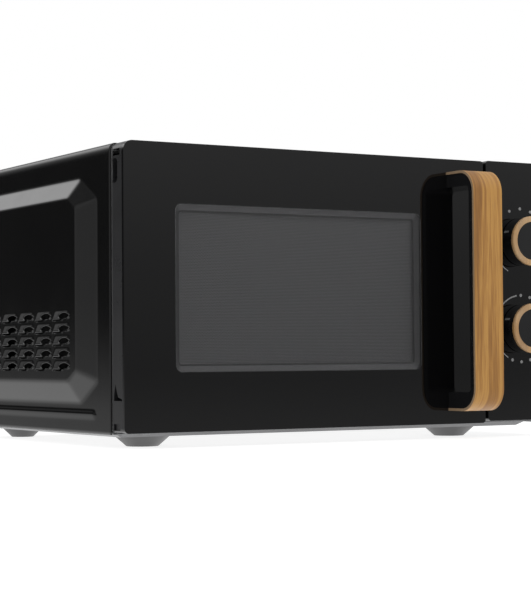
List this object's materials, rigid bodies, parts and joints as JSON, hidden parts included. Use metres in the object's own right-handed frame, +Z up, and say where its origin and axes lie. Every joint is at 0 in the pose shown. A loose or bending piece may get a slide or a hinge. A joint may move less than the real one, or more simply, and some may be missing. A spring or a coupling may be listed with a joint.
{
  "type": "microwave oven",
  "caption": "Black countertop microwave oven with a left-hinged mirror-gloss door, a bow handle faced with wood, two wood-ringed dials and an embossed, louvred case.",
  "frame": {"origin": "on the surface the feet stand on, below the middle of the overall box", "axes": "+X to the right and +Y to the back seen from the front, +Z up"},
  "size_m": [0.4836, 0.38, 0.2601],
  "materials": {
    "case_paint": "satin black stoved paint on pressed steel",
    "pan_steel": "dull zinc grey",
    "zinc_steel": "zinc-plated sheet steel",
    "cavity_paint": "grey epoxy paint, semi-gloss",
    "black_glass": "black back-printed mirror gloss glass with a clear window",
    "door_plastic": "fine satin black moulding",
    "panel_plastic": "semi-gloss black moulding with white printed dots",
    "dial_plastic": "fine matte black moulding with a white pointer tick",
    "wood": "oiled light brown wood",
    "foot_plastic": "matte grey moulding",
    "black_plastic": "matte black moulding",
    "white_plastic": "matte white moulding",
    "red_plastic": "matte red moulding",
    "mica": "mottled mica sheet",
    "lamp_glass": "clear lamp glass",
    "tray_glass": "clear pressed glass",
    "clear_film": "clear film",
    "aluminium": "plain rolled aluminium",
    "copper": "enamelled copper wire",
    "lamination": "varnished steel laminations",
    "bell_metal": "plated bell metal",
    "board": "green solder mask"
  },
  "bodies": {
    "case": {"wrapper": "case_paint", "base_pan": "pan_steel", "feet": "foot_plastic", "rear_panel": "zinc_steel", "cord_gland": "black_plastic", "cavity": "cavity_paint", "front_frame": "case_paint", "waveguide": "zinc_steel", "waveguide_cover": "mica", "cavity_lamp": "lamp_glass", "lamp_holder": "white_plastic", "upper_hinge": "case_paint", "lower_hinge": "zinc_steel", "case_screws": "zinc_steel", "control_panel": "panel_plastic", "power_selector": "white_plastic", "timer_unit": "white_plastic", "timer_bell": "bell_metal", "switch_bracket": "white_plastic", "door_switches": "black_plastic", "magnetron_yoke": "zinc_steel", "magnetron_fins": "aluminium", "magnetron_tube": "copper", "filter_box": "zinc_steel", "transformer_core": "lamination", "transformer_windings": "copper", "capacitor": "aluminium", "capacitor_clamp": "zinc_steel", "hv_diode": "black_plastic", "fan_shroud": "white_plastic", "fan_motor": "lamination", "turntable_motor": "zinc_steel", "filter_board": "board", "thermal_cutouts": "black_plastic"},
    "door": {"door_frame": "door_plastic", "door_glass": "black_glass", "door_screen": "cavity_paint", "door_film": "clear_film", "choke_cover": "black_plastic", "handle_core": "black_plastic", "handle_strap": "wood", "handle_screws": "zinc_steel"},
    "latch": {"latch_hooks": "white_plastic", "latch_spring": "zinc_steel"},
    "power_dial": {"power_knob": "dial_plastic", "power_knob_ring": "wood", "power_shaft": "zinc_steel"},
    "timer_dial": {"timer_knob": "dial_plastic", "timer_knob_ring": "wood", "timer_shaft": "zinc_steel"},
    "upper_plunger": {"upper_switch_plunger": "red_plastic"},
    "lower_plunger": {"lower_switch_plunger": "red_plastic"},
    "monitor_plunger": {"monitor_switch_plunger": "red_plastic"},
    "fan": {"fan_blade": "white_plastic"},
    "turntable": {"turntable_coupler": "white_plastic", "glass_turntable": "tray_glass"},
    "roller_carrier": {"roller_ring": "white_plastic"},
    "roller_wheel_1": {"roller_1": "white_plastic"},
    "roller_wheel_2": {"roller_2": "white_plastic"},
    "roller_wheel_3": {"roller_3": "white_plastic"}
  },
  "joints": [
    {"name": "door_swing", "type": "hinge", "parent": "case", "child": "door", "pos_m": [-0.221, -0.1335, 0.1363], "axis": [0, 0, -1], "range_deg": [0, 100]},
    {"name": "latch_lift", "type": "slide", "parent": "door", "child": "latch", "axis": [0, 0, 1], "range_m": [0, 0.005], "stiffness_N_per_m": 300, "springref_m": -0.004, "deforming": ["latch_spring"]},
    {"name": "power_turn", "type": "hinge", "parent": "case", "child": "power_dial", "pos_m": [0.1916, -0.1485, 0.1843], "axis": [0, 1, 0], "range_deg": [-75, 195]},
    {"name": "timer_turn", "type": "hinge", "parent": "case", "child": "timer_dial", "pos_m": [0.1916, -0.1485, 0.1018], "axis": [0, 1, 0], "range_deg": [0, 290]},
    {"name": "fan_spin", "type": "hinge", "parent": "case", "child": "fan", "pos_m": [0.173, 0.1635, 0.1783], "axis": [0, 1, 0], "continuous": true},
    {"name": "turntable_spin", "type": "hinge", "parent": "case", "child": "turntable", "pos_m": [-0.046, 0.0276, 0.0433], "axis": [0, 0, 1], "continuous": true},
    {"name": "carrier_spin", "type": "hinge", "parent": "case", "child": "roller_carrier", "pos_m": [-0.046, 0.0276, 0.0373], "axis": [0, 0, 1], "continuous": true},
    {"name": "roller_1_spin", "type": "hinge", "parent": "roller_carrier", "child": "roller_wheel_1", "pos_m": [0.04, 0.0276, 0.0373], "axis": [1, 0, 0], "continuous": true},
    {"name": "roller_2_spin", "type": "hinge", "parent": "roller_carrier", "child": "roller_wheel_2", "pos_m": [-0.089, 0.10208, 0.0373], "axis": [-0.5, 0.866, 0], "continuous": true},
    {"name": "roller_3_spin", "type": "hinge", "parent": "roller_carrier", "child": "roller_wheel_3", "pos_m": [-0.089, -0.04688, 0.0373], "axis": [-0.5, -0.866, 0], "continuous": true},
    {"name": "lower_switch_press", "type": "slide", "parent": "case", "child": "lower_plunger", "axis": [0, 1, 0], "range_m": [0, 0.0015], "stiffness_N_per_m": 200, "springref_m": -0.001},
    {"name": "monitor_switch_press", "type": "slide", "parent": "case", "child": "monitor_plunger", "axis": [0, 1, 0], "range_m": [0, 0.0015], "stiffness_N_per_m": 200, "springref_m": -0.001},
    {"name": "upper_switch_press", "type": "slide", "parent": "case", "child": "upper_plunger", "axis": [0, 1, 0], "range_m": [0, 0.0015], "stiffness_N_per_m": 200, "springref_m": -0.001}
  ],
  "couplings": [
    {"joint": "carrier_spin", "follows": "turntable_spin", "ratio": 0.5},
    {"joint": "roller_1_spin", "follows": "turntable_spin", "ratio": -5.5844},
    {"joint": "roller_2_spin", "follows": "turntable_spin", "ratio": -5.5844},
    {"joint": "roller_3_spin", "follows": "turntable_spin", "ratio": -5.5844}
  ]
}
